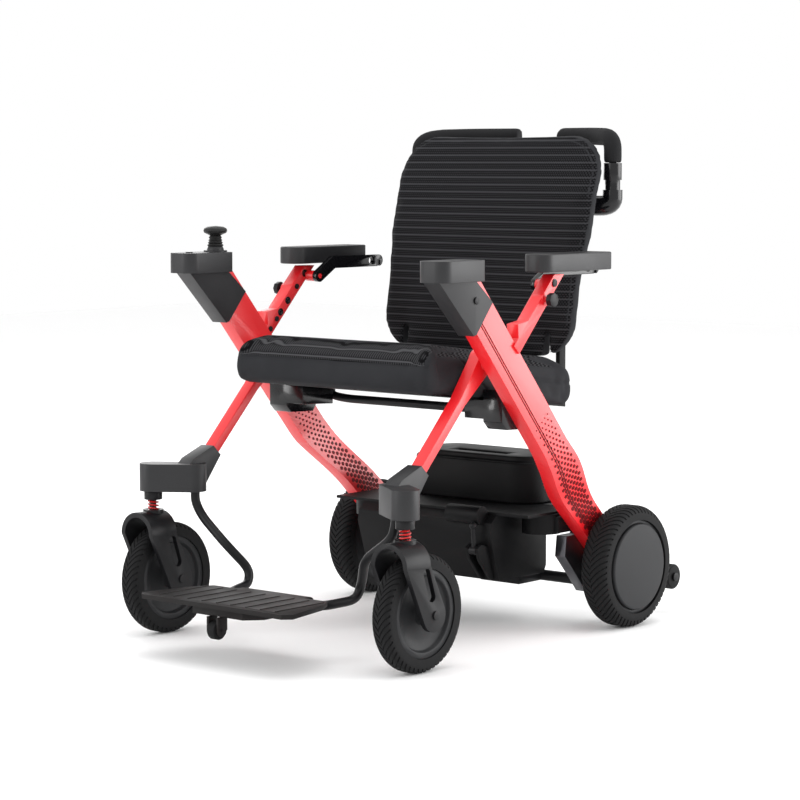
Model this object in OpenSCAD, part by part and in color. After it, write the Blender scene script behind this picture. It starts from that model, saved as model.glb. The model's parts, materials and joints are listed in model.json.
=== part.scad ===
// Folding power wheelchair. Millimetres, +Z up, +Y to the rear, +X to the sitter's left.
// The origin is on the floor, under the middle of the chair.

/* [Seat] */
// Full width of the seat cushion
seat_w = 407; // [380:1:440]
// Depth of the seat cushion, measured level
seat_depth = 384; // [340:1:400]
// Height of the middle of the cushion
seat_mid_z = 418; // [410:1:426]
// Thickness of the cushion
cushion_t = 59; // [48:1:62]
// How far the seat drops towards the rear, in degrees
seat_tilt = 7; // [4:0.5:9]
// Thickness of the pan under the cushion
pan_t = 9; // [6:1:12]

/* [Broad arms] */
// Thickness of the broad arms, across the chair
arm_t = 25; // [20:1:28]
// Width of the broad arms, seen from the side
arm_w = 58; // [46:1:64]
// How far the broad arms step inwards above the rear wheels
arm_step = 29; // [24:1:33]
// Height where the step starts
step_top_z = 300; // [280:1:310]
// Height where the step ends
step_low_z = 200; // [190:1:215]

/* [Front arms] */
// Width of the front arms, across the chair
front_arm_t = 21; // [17:1:24]
// Depth of the front arms, seen from the side
front_arm_w = 15; // [13:1:20]
// Room between a front arm and the broad arm beside it
arm_room = 17.5; // [14:0.5:21]
// Radius of the main folding pins
pivot_r = 8; // [6:0.5:9]

/* [Armrests] */
// Width of a rear armrest pad
pad_w = 50; // [40:1:56]
// Length of a rear armrest pad
pad_len = 179; // [150:1:190]
// Height of the underside of the rear pads
pad_z = 582; // [580:1:590]
// Thickness of a rear pad
pad_t = 28; // [22:1:32]
// Length of a front pod
pod_len = 100; // [84:1:108]
// Width of a front pod
pod_w = 56; // [48:1:60]
// Height of a front pod
pod_t = 32; // [26:1:36]

/* [Casters] */
// Radius of the front wheels
caster_r = 89; // [75:1:92]
// Width of the front tyres
caster_tyre_w = 34; // [28:1:40]
// Depth of the front tyre's rubber
caster_rubber = 22; // [16:1:26]
// Distance from the swivel axis back to the front wheel's axle
caster_trail = 28; // [22:1:32]
// Thickness of a fork's legs
fork_t = 8; // [6:0.5:10]
// Width of a fork's legs, seen from the side
fork_w = 50; // [40:1:54]
// Radius of the front wheels' axle bolts
caster_axle_r = 5; // [4:0.5:6]
// Travel of the front suspension
spring_travel = 5; // [3:0.5:6]

/* [Drive wheels] */
// Radius of the rear wheels
drive_r = 99; // [92:1:104]
// Width of the rear tyres
drive_tyre_w = 50; // [40:1:54]
// Depth of the rear tyre's rubber
drive_rubber = 23; // [18:1:26]
// Distance of the rear axle behind the middle of the chair
drive_y = 256; // [246:1:262]
// Radius of the fixed motor axles
drive_axle_r = 8; // [6:0.5:10]

/* [Backrest] */
// Height of the top of the backrest
back_top_z = 797; // [760:1:830]
// Thickness of the backrest pad
back_t = 24; // [18:1:28]
// Radius of the backrest's frame tube
back_tube_r = 9; // [7:0.5:10]

/* [Footrest] */
// Radius of the footrest's bent tube
foot_tube_r = 7.5; // [6:0.5:9]
// Height of the tube's lower run
foot_z = 84; // [78:1:92]
// Half width of the footplate at its front edge
plate_half_w = 157; // [130:1:162]
// Thickness of the footplate
plate_t = 7; // [5:0.5:9]

/* [Battery] */
// Width of the battery pack
battery_w = 262; // [220:1:280]
// Height of the battery pack
battery_h = 78; // [66:1:94]
// Depth of the battery pack, front to rear
battery_d = 125; // [100:1:130]

/* [Hidden] */

$fn = 64;
// Gaps: a running fit, soft pieces beside hard ones, and plain clearance
run = 0.05;
soft_gap = 0.3;
clear_gap = 2;
// Overlap that joins two shapes of one solid
bite = 1;

// Places across the chair, from the middle outwards
seat_x = seat_w / 2;
front_arm_in = seat_x + clear_gap;
front_arm_out = front_arm_in + front_arm_t;
arm_in = front_arm_out + arm_room;
arm_out = arm_in + arm_t;
low_in = arm_in - arm_step;
low_out = low_in + arm_t;
drive_in = low_out + 6;
drive_x = drive_in + drive_tyre_w / 2;
drive_out = drive_in + drive_tyre_w;
caster_x = front_arm_out + 35.5;
pod_in = arm_in - 12;

// Main folding axis, and the slopes of the arms from there
pivot_y = -55;
pivot_z = seat_mid_z + 29;
broad_dir = [0.656, -0.755];
broad_norm = [0.755, 0.656];
broad_mid = [pivot_y, pivot_z + 4];
front_dir = [-0.698, -0.716];
front_norm = [-0.716, 0.698];

// Broad arm: points down its middle, side view
arm_top = broad_mid - broad_dir * 170;
arm_bend = [73, step_top_z];
arm_tip = [drive_y - 13, drive_r + 38];
arm_tip_r = 26;

// Rear post: its middle line, side view
post_dir = [0.691, 0.723];
post_norm = [-0.723, 0.691];
post_mid = [51, 560];
post_w = 18;
post_t = 22;
post_in = arm_in + 6.5;
post_out = post_in + post_t;
post_top_z = pad_z - 4;

// Armrest hinge, behind the post's top
rest_y = 66;
rest_z = pad_z - 21;
rest_pin_r = 4;
bar_in = pod_in - 7;
bar_out = pod_in + 1;
pad_in = bar_out;
pad_front_y = 18;
bar_h = 20;
bar_mid_z = pad_z + 1;
bar_rear_y = 228;

// Front pods
pod_z = 574.5;
pod_front_y = -234;
pod_mid_x = pod_in + pod_w / 2;
stick_y = pod_front_y + 86;
stick_z = pod_z + pod_t + 1;
button_y = pod_front_y + 26;
button_r = 6;

// Seat planes: heights of the cushion's underside and top at a place along the chair
seat_slope = tan(seat_tilt);
seat_mid_y = 18;
function under_z(y) = seat_mid_z - cushion_t / 2 - seat_slope * (y - seat_mid_y);
function top_z(y) = seat_mid_z + cushion_t / 2 - seat_slope * (y - seat_mid_y);

// Caster stem, from the floor up
stem_y = -291;
caster_axle_y = stem_y + caster_trail;
fork_in = caster_tyre_w / 2 + 10;
fork_out = fork_in + fork_t;
crown_z = caster_r + 75;
neck_z = crown_z + fork_out + 1;
neck_top_z = neck_z + 1;
spring_z = neck_top_z - 13;
collar_z = neck_top_z + 16;
housing_z = collar_z + 14;
housing_h = 44;
stem_r = 5;
sleeve_r = 12;
housing_in_y = -255;
housing_in_x = front_arm_in + front_arm_t / 2 - 7;

// Footrest tube, down one side and across
foot_y = -288;
foot_in = 80;
leg_side = [
    [foot_in - 4, foot_y, foot_z], [foot_in + 18, foot_y, foot_z], [foot_in + 33, foot_y + 58, foot_z + 4],
    [foot_in + 37, -222, foot_z + 26], [foot_in + 67, -249, foot_z + 70], [housing_in_x - 12, -246, 190],
    [housing_in_x, housing_in_y + 5, housing_z - 18], [housing_in_x, housing_in_y + 5, housing_z - run]
];
plate_front_y = -432;
plate_rear_y = foot_y - 13;
plate_z = foot_z + 4;
knuckle_x = 70;
roller_y = plate_front_y + 14;
roller_z = 54;
roller_r = 14;
tray_drop = 14;

// Backrest: places down its front face, side view
back_low_z = 430;
back_rise = (back_top_z - back_low_z) / 367;
back_line = [
    for (p = [[194, 0], [199, 70], [208, 136], [223, 205], [240, 270], [251, 300], [261, 327], [275, 367]])
        [p[0], back_low_z + p[1] * back_rise]
];
back_wide_z = back_low_z + 130 * back_rise;
back_full_z = back_low_z + 210 * back_rise;
back_hinge_y = 232;
back_hinge_z = 462;
back_pin_r = 4;
lug_in = 150;
lug_t = 8;
lug_half = 8;
back_tube_x = lug_in - 14;
back_tube_back = back_t + back_tube_r + soft_gap;
back_cross_z = back_low_z + 270 * back_rise;
elbow_z = back_cross_z - 20;
handle_x = seat_x + 0.5;
handle_y = 304;
elbow_root = [back_tube_x, 274, elbow_z];
elbow_dir = unit([handle_x, handle_y, elbow_z] - elbow_root);
elbow_start = elbow_root + elbow_dir * 18;
handle_r = 12.5;
elbow_r = 16.5;
grip_r = 15;
grip_z = elbow_z + 70;
grip_end = [45, 380, grip_z + 44];

// Drive case and battery
case_y = 68;
case_z = drive_r - 19;
battery_y = 178;
battery_z = drive_r + 93;
tray_t = 5;
cheek_r = 32;
cheek_x = low_in - 38;
cheek_y = 152;
beam_y = 246;
beam_z = drive_r - 31;
beam_r = 9;
bracket_in = low_in - 20;
lever_x = 118;
lever_y = 52;
lever_z = battery_z - 60;

// Anti-tip rollers
tip_roller_r = 21;
tip_y = 432 - tip_roller_r;
tip_z = 60;
tip_in = drive_in - 6;
tip_roller_w = 20;

// Colours
red = [0.86, 0.04, 0.05];
black = [0.05, 0.05, 0.055];
grey = [0.16, 0.16, 0.165];
cloth = [0.09, 0.09, 0.095];
rubber = [0.07, 0.07, 0.07];
steel = [0.6, 0.6, 0.62];

function unit(v) = v / norm(v);
function along(p, d, s) = p + d * s;

// A path through points, with each corner rounded by a curve that starts this far from it
function curve(p, reach, steps) = concat(
    [p[0]],
    [for (i = [1 : len(p) - 2])
        let (back = p[i - 1] - p[i], on = p[i + 1] - p[i])
        let (a = p[i] + unit(back) * min(reach, norm(back) * 0.48))
        let (b = p[i] + unit(on) * min(reach, norm(on) * 0.48))
        for (k = [0 : steps])
            let (t = k / steps)
            a * (1 - t) * (1 - t) + p[i] * 2 * t * (1 - t) + b * t * t],
    [p[len(p) - 1]]
);

// Solid of a round section carried along a path
module sweep(path, r, sides = 12) {
    last = len(path) - 1;
    tangents = [for (i = [0 : last]) unit(path[min(i + 1, last)] - path[max(i - 1, 0)])];
    first = unit(cross(tangents[0], abs(tangents[0][2]) > 0.8 ? [1, 0, 0] : [0, 0, 1]));
    normals = [
        for (i = 0, n = first; i <= last;
             i = i + 1, n = i <= last ? unit(n - tangents[i] * (n * tangents[i])) : n)
            n
    ];
    rings = [
        for (i = [0 : last])
            let (b = cross(tangents[i], normals[i]))
            for (j = [0 : sides - 1])
                path[i] + normals[i] * r * cos(j * 360 / sides) + b * r * sin(j * 360 / sides)
    ];
    walls = [
        for (i = [0 : last - 1])
            for (j = [0 : sides - 1])
                let (a = i * sides + j, b = i * sides + (j + 1) % sides)
                [a, a + sides, b + sides, b]
    ];
    start = [[for (j = [0 : sides - 1]) j]];
    end = [[for (j = [sides - 1 : -1 : 0]) last * sides + j]];
    polyhedron(rings, concat(walls, start, end));
}

// Side view shape given depth across the chair
module extrude_x(x0, x1) {
    translate([x0, 0, 0]) rotate([90, 0, 90]) linear_extrude(x1 - x0) children();
}

// Front view shape given depth along the chair
module extrude_y(y0, y1) {
    translate([0, y1, 0]) rotate([90, 0, 0]) linear_extrude(y1 - y0) children();
}

// Round bar across the chair
module rod_x(y, z, r, x0, x1) {
    translate([x0, y, z]) rotate([0, 90, 0]) cylinder(h = x1 - x0, r = r);
}

// Upright round bar
module rod_z(x, y, r, z0, z1) {
    translate([x, y, z0]) cylinder(h = z1 - z0, r = r);
}

// Flat strip of even width between two points
module strip(a, b, w) {
    d = unit(b - a);
    n = [-d[1], d[0]] * w / 2;
    polygon([a + n, b + n, b - n, a - n]);
}

// Rectangle with its four corners rounded
module rounded(x0, x1, y0, y1, r) {
    translate([x0 + r, y0]) square([x1 - x0 - 2 * r, y1 - y0]);
    translate([x0, y0 + r]) square([x1 - x0, y1 - y0 - 2 * r]);
    for (x = [x0 + r, x1 - r])
        for (y = [y0 + r, y1 - r])
            translate([x, y]) circle(r);
}

module right_side() {
    mirror([1, 0, 0]) children();
}

// ---- Broad arms ----

// Middle of the arm's thickness at a height, stepping smoothly inwards
function arm_mid_x(z) =
    let (t = min(1, max(0, (step_top_z - z) / (step_top_z - step_low_z))))
    arm_in + arm_t / 2 - arm_step * (1 - cos(180 * t)) / 2;

module arm_side_view() {
    strip(arm_top, arm_bend, arm_w);
    translate(arm_bend) circle(arm_w / 2);
    n = unit(arm_tip - arm_bend);
    across = [-n[1], n[0]];
    polygon([
        arm_bend + across * arm_w / 2, arm_tip + across * arm_tip_r,
        arm_tip - across * arm_tip_r, arm_bend - across * arm_w / 2
    ]);
    translate(arm_tip) circle(arm_tip_r);
}

module arm_front_view() {
    heights = [
        0, for (z = [step_low_z : (step_top_z - step_low_z) / 10 : step_top_z]) z,
        arm_top[1] + arm_w
    ];
    polygon(concat(
        [for (z = heights) [arm_mid_x(z) - arm_t / 2, z]],
        [for (i = [len(heights) - 1 : -1 : 0]) [arm_mid_x(heights[i]) + arm_t / 2, heights[i]]]
    ));
}

module arm_blank() {
    intersection() {
        extrude_x(low_in - 1, arm_out + 1) arm_side_view();
        extrude_y(-300, 400) arm_front_view();
    }
}

module main_arm() {
    color(red) {
        arm_blank();
        rod_x(pivot_y, pivot_z, pivot_r, front_arm_in, arm_in + bite);
    }
}

module main_arm_left() { main_arm(); }
module main_arm_right() { right_side() main_arm(); }

// ---- Rear posts, bolted to the broad arms ----

module rear_post() {
    low = along(post_mid, post_dir, -130);
    high = along(post_mid, post_dir, 60);
    web = along(post_mid, post_dir, -78);
    color(red) {
        difference() {
            extrude_x(post_in, post_out) {
                intersection() {
                    strip(low, high, post_w);
                    translate([-200, 400]) square([400, post_top_z - 400]);
                }
                polygon([
                    web + post_norm * (post_w / 2 - bite), web + post_norm * (post_w / 2 + 16) - post_dir * 22,
                    web - post_dir * 44, web - post_dir * 22
                ]);
            }
            arm_blank();
        }
        rod_x(rest_y - 1, rest_z, 9, pad_in + soft_gap, post_in + bite);
        rod_x(rest_y, rest_z, rest_pin_r, bar_in - 1, pad_in + bite);
        rod_x(32, 540, 9.5, post_in + 3, post_out + 2);
        rod_x(32, 540, 4, post_out, post_out + 12);
    }
}

module rear_post_left() { rear_post(); }
module rear_post_right() { right_side() rear_post(); }

// ---- Arm heads: a sleeve over each broad arm, with a pod on top ----

module pod_outline() {
    front_r = 20;
    rear_r = 6;
    x1 = pod_in + pod_w;
    y1 = pod_front_y + pod_len;
    for (x = [pod_in + front_r, x1 - front_r])
        translate([x, pod_front_y + front_r]) circle(front_r);
    for (x = [pod_in + rear_r, x1 - rear_r])
        translate([x, y1 - rear_r]) circle(rear_r);
    translate([pod_in + front_r, pod_front_y]) square([pod_w - 2 * front_r, pod_len]);
    translate([pod_in, pod_front_y + front_r]) square([pod_w, pod_len - front_r - rear_r]);
    translate([pod_in + rear_r, y1 - rear_r - bite]) square([pod_w - 2 * rear_r, rear_r + bite]);
}

module arm_head_body() {
    wall = 3;
    difference() {
        union() {
            extrude_x(arm_in - wall, arm_out + wall)
                polygon([
                    [-143, 492], [-136, 494], [-97, 541], [pod_front_y + pod_len - 4, pod_z + bite],
                    [pod_front_y + 8, pod_z + bite]
                ]);
            translate([0, 0, pod_z]) linear_extrude(pod_t) pod_outline();
        }
        arm_blank();
    }
}

module arm_head_left() {
    color(grey) arm_head_body();
}

module arm_head_right() {
    right_side() color(grey) difference() {
        union() {
            arm_head_body();
            // Raised plinth and the round seat of the joystick
            translate([pod_mid_x, stick_y, stick_z - bite]) cylinder(h = bite + 1.5, r = 19);
            intersection() {
                translate([pod_mid_x, stick_y, stick_z]) sphere(14);
                translate([pod_mid_x - 20, stick_y - 20, stick_z]) cube([40, 40, 9]);
            }
        }
        translate([pod_mid_x, stick_y, stick_z]) sphere(11);
        translate([pod_mid_x, stick_y, stick_z]) cylinder(h = 20, r = 7.5);
        rod_x(stick_y, stick_z, 1.5 + run, pod_mid_x - 12.5, pod_mid_x + 12.5);
        // Pocket of the power button
        translate([pod_mid_x, button_y, pod_z + pod_t - 6]) cylinder(h = 20, r = button_r + 0.3);
    }
}

// ---- Seat ----

module seat_pan() {
    y0 = seat_mid_y - seat_depth / 2 + 34;
    y1 = seat_mid_y + seat_depth / 2 - 20;
    rear = back_hinge_y + lug_half;
    gap = soft_gap + 0.2;
    color(black) {
        extrude_x(-seat_x + 8, seat_x - 8)
            polygon([
                [y0, under_z(y0) - gap], [y1, under_z(y1) - gap],
                [y1, under_z(y1) - gap - pan_t], [y0, under_z(y0) - gap - pan_t]
            ]);
        // Uprights that carry the backrest's hinge pins
        for (side = [0, 1]) mirror([side, 0, 0]) {
            extrude_x(lug_in, lug_in + lug_t) {
                polygon([
                    [y1 - 40, under_z(y1 - 40) - gap], [y1, under_z(y1) - gap],
                    [rear - 2 * lug_half, under_z(rear) + 2], [rear - 2 * lug_half, back_hinge_z],
                    [rear, back_hinge_z], [rear, under_z(rear) - 8],
                    [y1 - 40, under_z(y1 - 40) - gap - pan_t]
                ]);
                translate([back_hinge_y, back_hinge_z]) circle(lug_half);
            }
            rod_x(back_hinge_y, back_hinge_z, back_pin_r, back_tube_x - 10, lug_in + bite);
        }
    }
}

module seat_cushion() {
    r = 26;
    run_y = seat_depth / 2 - r;
    h = cushion_t / 2 - r;
    color(cloth)
        extrude_x(-seat_x, seat_x)
            intersection() {
                translate([seat_mid_y, seat_mid_z]) rotate(-seat_tilt) {
                    rounded(-seat_depth / 2, seat_depth / 2, -cushion_t / 2 * cos(seat_tilt),
                            cushion_t / 2 * cos(seat_tilt), r);
                }
                translate([-400, 300]) square([800, 300]);
            }
}

// Cross tube below the pan, used to lift the chair
module under_seat_bar() {
    y = 54;
    low = 360;
    top = under_z(y) - soft_gap - 0.2 - pan_t;
    x = seat_x - 14;
    path = curve([[-x, y, top - 0.9], [-x, y, low + 4], [-x + 34, y, low], [x - 34, y, low],
                  [x, y, low + 4], [x, y, top - 0.9]], 18, 5);
    color(black) sweep(path, 7, 12);
}

// Castings that carry the pan between the broad arms
module pivot_brackets() {
    y0 = -38;
    y1 = 36;
    high = under_z(0) - soft_gap - 0.2 - pan_t;
    color(black)
        for (side = [0, 1]) mirror([side, 0, 0]) {
            extrude_x(front_arm_in + 1, arm_in)
                polygon([[y0, 352], [y0 + 12, 340], [y1 - 8, 338], [y1, 350], [y1, 398], [y0, 402]]);
            // Foot under the pan
            extrude_x(seat_x - 34, front_arm_in + 1 + bite)
                polygon([
                    [y0, under_z(y0) - soft_gap - 0.2 - pan_t], [y1, under_z(y1) - soft_gap - 0.2 - pan_t],
                    [y1, 352], [y0, 356]
                ]);
        }
}

// ---- Drive case, battery and rear axle ----

module drive_case() {
    half = 140;
    tray_half = low_in - 12;
    color(black) {
        // Lower body with its slanted front
        extrude_x(-half, half)
            polygon([
                [case_y, battery_z - tray_t - 12], [case_y - 4, battery_z - tray_t - 30], [case_y + 20, case_z],
                [208, case_z], [214, case_z + 12], [214, battery_z - tray_t + bite], [case_y + 14, battery_z - tray_t + bite]
            ]);
        // Tray that the battery slides on, with a front lip
        extrude_x(-tray_half, tray_half)
            polygon([
                [case_y + 14, battery_z - tray_t], [214, battery_z - tray_t],
                [214, battery_z - soft_gap], [case_y + 14, battery_z - soft_gap]
            ]);
        // Rear of the tray, under the battery
        extrude_x(-battery_w / 2 - 4, battery_w / 2 + 4)
            polygon([
                [200, battery_z - tray_t], [battery_y + battery_d - 6, battery_z - tray_t],
                [battery_y + battery_d - 6, battery_z - soft_gap], [200, battery_z - soft_gap]
            ]);
        for (side = [0, 1]) mirror([side, 0, 0]) {
            // Round cheeks under the tray's ends, and lugs out to the broad arms
            rod_z(cheek_x, cheek_y, cheek_r, battery_z - 36, battery_z - tray_t + bite);
            translate([cheek_x, cheek_y - 6, battery_z - 34]) cube([low_in - cheek_x, 40, 26]);
        }
        // Round brake gearbox on the front
        rod_x(case_y - 3, battery_z - 5, 15, 58, 124);
        translate([58, case_y - 3, battery_z - 20]) cube([56, 24, 14]);
        // Ears of the clutch lever, with its pin
        for (x = [lever_x - 13, lever_x + 7])
            extrude_x(x, x + 6)
                polygon([
                    [lever_y - 8, lever_z + 4], [lever_y + 2, lever_z + 10], [case_y + 12, lever_z + 2],
                    [case_y + 24, case_z + 3], [case_y + 12, case_z + 2], [lever_y - 2, lever_z - 14]
                ]);
        rod_x(lever_y, lever_z, 3, lever_x - 8, lever_x + 8);
    }
}

module battery_pack() {
    r = 44;
    color(black) difference() {
        union() {
            translate([0, 0, battery_z])
                linear_extrude(battery_h - 10)
                    rounded(-battery_w / 2, battery_w / 2, battery_y, battery_y + battery_d, r);
            translate([0, 0, battery_z + battery_h - 10 - bite])
                linear_extrude(10 + bite)
                    rounded(-battery_w / 2 + 8, battery_w / 2 - 8, battery_y + 8,
                            battery_y + battery_d - 8, r - 8);
        }
        // Recessed grip along the top
        translate([-60, battery_y + 30, battery_z + battery_h - 12]) cube([120, 26, 20]);
        // Pull slot at the rear
        translate([-50, battery_y + battery_d - 14, battery_z + 40]) cube([100, 20, 22]);
    }
}

// Lever that frees the motor brakes, so the chair can be pushed
module clutch_lever() {
    tip = [lever_x, lever_y - 3, lever_z + 40];
    color(black) difference() {
        union() {
            rod_x(lever_y, lever_z, 7, lever_x - 6.7, lever_x + 6.7);
            sweep([[lever_x, lever_y, lever_z], tip], 4, 12);
            translate(tip) sphere(6);
        }
        rod_x(lever_y, lever_z, 3 + run, lever_x - 9, lever_x + 9);
    }
}

module axle_beam() {
    color(black) {
        rod_x(beam_y, beam_z, beam_r, -bracket_in, bracket_in);
        // Saddle up to the drive case
        translate([-60, 196, case_z - 14]) cube([120, beam_y - 196, 14]);
        translate([30, 180, case_z - 20]) cube([80, 60, 12]);
    }
}

// Motor brackets, with the fixed axles and the stators pressed on them
module drive_axles() {
    color(black)
        for (side = [0, 1]) mirror([side, 0, 0]) {
            difference() {
                union() {
                    extrude_x(bracket_in, low_in)
                        polygon([
                            [beam_y - 24, beam_z - 14], [drive_y + 24, beam_z - 14], [drive_y + 26, drive_r + 1],
                            [arm_tip[0] + 18, arm_tip[1] + 16], [arm_tip[0] - 26, arm_tip[1] + 34],
                            [arm_tip[0] - 40, arm_tip[1] + 14], [168, arm_tip[1] + 14],
                            [164, drive_r + 19], [196, case_z + 4]
                        ]);
                    rod_x(drive_y, drive_r, 13.5, bracket_in, low_out + 2);
                }
                rod_x(beam_y, beam_z, beam_r, bracket_in - 1, bracket_in + 8);
                rod_x(drive_y, drive_r, drive_axle_r, bracket_in - 1, low_out + 3);
            }
            rod_x(drive_y, drive_r, drive_axle_r, bracket_in + 1, drive_out - 11);
            difference() {
                rod_x(drive_y, drive_r, 52, drive_in + 11, drive_out - 13);
                rod_x(drive_y, drive_r, drive_axle_r, drive_in + 10, drive_out - 12);
            }
        }
}

module anti_tip_arms() {
    color(black)
        for (side = [0, 1]) mirror([side, 0, 0]) {
            difference() {
                extrude_x(low_in + 0.2, low_in + 8.2) {
                    strip([drive_y - 6, beam_z - 4], [tip_y, tip_z], 18);
                    translate([tip_y, tip_z]) circle(11);
                    polygon([
                        [drive_y - 34, beam_z + 8], [drive_y - 26, beam_z - 16],
                        [drive_y + 24, beam_z - 14], [drive_y + 24, beam_z + 6]
                    ]);
                }
                rod_x(drive_y, drive_r, 14, low_in, low_in + 12);
            }
            // Pad that joins the arm to the motor bracket
            extrude_x(low_in, low_in + 0.2 + bite)
                translate([drive_y - 16, beam_z - 12]) square([34, 16]);
            rod_x(tip_y, tip_z, 4, low_in + 8.2 - bite, tip_in + tip_roller_w + 1);
            rod_x(tip_y, tip_z, 7, tip_in + tip_roller_w + 1, tip_in + tip_roller_w + 4);
            rod_x(tip_y, tip_z, 8, low_in + 8.2 - bite, tip_in - 1);
        }
}

module tip_roller() {
    color(rubber) translate([tip_in, tip_y, tip_z]) rotate([0, 90, 0])
        difference() {
            union() {
                translate([0, 0, 2]) cylinder(h = tip_roller_w - 4, r = tip_roller_r);
                cylinder(h = tip_roller_w, r = tip_roller_r - 3);
            }
            translate([0, 0, -1]) cylinder(h = tip_roller_w + 2, r = 4 + run);
        }
}

module anti_tip_roller_left() { tip_roller(); }
module anti_tip_roller_right() { right_side() tip_roller(); }

// Screw heads on the posts, the heads and the arms
module frame_bolts() {
    r = 4.5;
    h = 2.2;
    color(steel)
        for (side = [0, 1]) mirror([side, 0, 0]) {
            for (s = [-116, -94, -22])
                let (p = along(post_mid, post_dir, s))
                rod_x(p[0], p[1], r, post_in - h, post_in);
            let (p = along(post_mid, post_dir, 6))
                rod_x(p[0], p[1], r + 1, post_out, post_out + h);
            rod_x(-138, 545, r + 1, arm_out + 3, arm_out + 3 + h);
            for (y = [-20, 18])
                rod_x(y, 391, r + 0.5, front_arm_in + 1.1 - h, front_arm_in + 1);
            for (d = [-10, 14])
                rod_x(arm_tip[0] - 12 + d, arm_tip[1] + 12 - d * 0.4, r + 1, bracket_in - h, bracket_in);
        }
}

// ---- Front frame, which folds back under the seat ----

module front_arm() {
    end = along([pivot_y, pivot_z], front_dir, 216);
    wide = along([pivot_y, pivot_z], front_dir, 82);
    color(red) difference() {
        union() {
            extrude_x(front_arm_in, front_arm_out) {
                strip([pivot_y, pivot_z], end, front_arm_w);
                translate([pivot_y, pivot_z]) circle(19);
                polygon([
                    [pivot_y, pivot_z] + front_norm * 18, wide + front_norm * front_arm_w / 2,
                    wide - front_norm * front_arm_w / 2, [pivot_y, pivot_z] - front_norm * 18
                ]);
            }
            rod_x(pivot_y, pivot_z, 14, front_arm_out - bite, arm_in - 0.3);
        }
        rod_x(pivot_y, pivot_z, pivot_r + run, front_arm_in - 1, arm_in + 1);
    }
}

module front_arm_left() { front_arm(); }
module front_arm_right() { right_side() front_arm(); }

module caster_housing() {
    r = 21.5;
    end = along([pivot_y, pivot_z], front_dir, 216);
    half = front_arm_w / 2 + 4;
    d = unit([caster_x - housing_in_x, stem_y - housing_in_y]);
    n = [-d[1], d[0]] * r;
    color(grey) difference() {
        union() {
            translate([0, 0, housing_z]) linear_extrude(housing_h) {
                polygon([
                    [housing_in_x, housing_in_y] + n, [caster_x, stem_y] + n,
                    [caster_x, stem_y] - n, [housing_in_x, housing_in_y] - n
                ]);
                translate([caster_x, stem_y]) circle(r);
                translate([housing_in_x, housing_in_y]) circle(r);
            }
            // Neck up to the end of the front arm
            extrude_x(front_arm_in - 3, front_arm_out + 3)
                polygon([
                    [housing_in_y - 14, housing_z + housing_h - bite], [housing_in_y - 4, housing_z + housing_h + 8],
                    end + front_norm * half, end - front_norm * half,
                    [housing_in_y + 20, housing_z + 6], [housing_in_y, housing_z + 6]
                ]);
        }
        rod_z(caster_x, stem_y, sleeve_r + run, housing_z - 1, housing_z + housing_h - 7);
    }
}

module caster_housing_left() { caster_housing(); }
module caster_housing_right() { right_side() caster_housing(); }

module footrest_tube() {
    color(black) {
        rod_x(foot_y, foot_z, foot_tube_r, -foot_in, foot_in);
        sweep(curve(leg_side, 17, 5), foot_tube_r - 0.2, 12);
        mirror([1, 0, 0]) sweep(curve(leg_side, 17, 5), foot_tube_r - 0.2, 12);
    }
}

module footplate() {
    rear_half = plate_half_w - 25;
    r = 12;
    color(grey) difference() {
        union() {
            translate([0, 0, plate_z]) linear_extrude(plate_t) {
                polygon([
                    [-plate_half_w + r, plate_front_y], [plate_half_w - r, plate_front_y],
                    [plate_half_w, plate_front_y + r], [rear_half + 6, plate_rear_y - 34],
                    [rear_half - 14, plate_rear_y], [-rear_half + 14, plate_rear_y],
                    [-rear_half - 6, plate_rear_y - 34], [-plate_half_w, plate_front_y + r]
                ]);
                translate([-knuckle_x, plate_rear_y - bite]) square([2 * knuckle_x, 14 + bite]);
            }
            rod_x(foot_y, foot_z, foot_tube_r + 3.5, -knuckle_x, knuckle_x);
            // Ribs of the tread
            for (i = [0 : 8])
                translate([-120 + i * 30 - 1.5, plate_front_y + 14, plate_z + plate_t - bite])
                    cube([3, 106, bite + 1]);
        }
        rod_x(foot_y, foot_z, foot_tube_r + run, -knuckle_x - 1, knuckle_x + 1);
    }
}

module footplate_tray() {
    color(black) {
        translate([0, 0, plate_z - tray_drop])
            linear_extrude(tray_drop)
                polygon([
                    [-52, plate_front_y + 16], [52, plate_front_y + 16], [74, plate_front_y + 40],
                    [70, plate_rear_y - 8], [-70, plate_rear_y - 8], [-74, plate_front_y + 40]
                ]);
        // Yoke of the small front roller
        difference() {
            for (side = [-1, 1])
                translate([side > 0 ? 8 : -12, 0, 0])
                    extrude_x(0, 4) {
                        translate([roller_y, roller_z]) circle(9);
                        translate([roller_y - 9, roller_z]) square([20, plate_z - tray_drop - roller_z + bite]);
                    }
        }
        rod_x(roller_y, roller_z, 3, -14, 14);
    }
}

module foot_roller() {
    color(rubber) difference() {
        rod_x(roller_y, roller_z, roller_r, -7, 7);
        rod_x(roller_y, roller_z, 3 + run, -8, 8);
    }
}

// ---- Casters ----

module caster_collar() {
    color(black) translate([caster_x, stem_y, 0]) difference() {
        union() {
            translate([0, 0, collar_z]) cylinder(h = housing_z - collar_z - 0.3, r = 14.5);
            translate([0, 0, collar_z]) cylinder(h = 46, r = sleeve_r);
        }
        translate([0, 0, collar_z - 1]) cylinder(h = 60, r = stem_r + run);
    }
}

module caster_collar_left() { caster_collar(); }
module caster_collar_right() { right_side() caster_collar(); }

// Coil of round wire around the stem
module caster_spring() {
    turns = 5;
    wire = 1.5;
    coil = 7.8;
    z0 = spring_z + wire + 0.1;
    z1 = collar_z - wire - 0.1;
    steps = turns * 14;
    path = [
        for (i = [0 : steps])
            [caster_x + coil * cos(i * 360 / 14), stem_y + coil * sin(i * 360 / 14), z0 + (z1 - z0) * i / steps]
    ];
    color(red) sweep(path, wire, 6);
}

module caster_spring_left() { caster_spring(); }
module caster_spring_right() { right_side() caster_spring(); }

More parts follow.
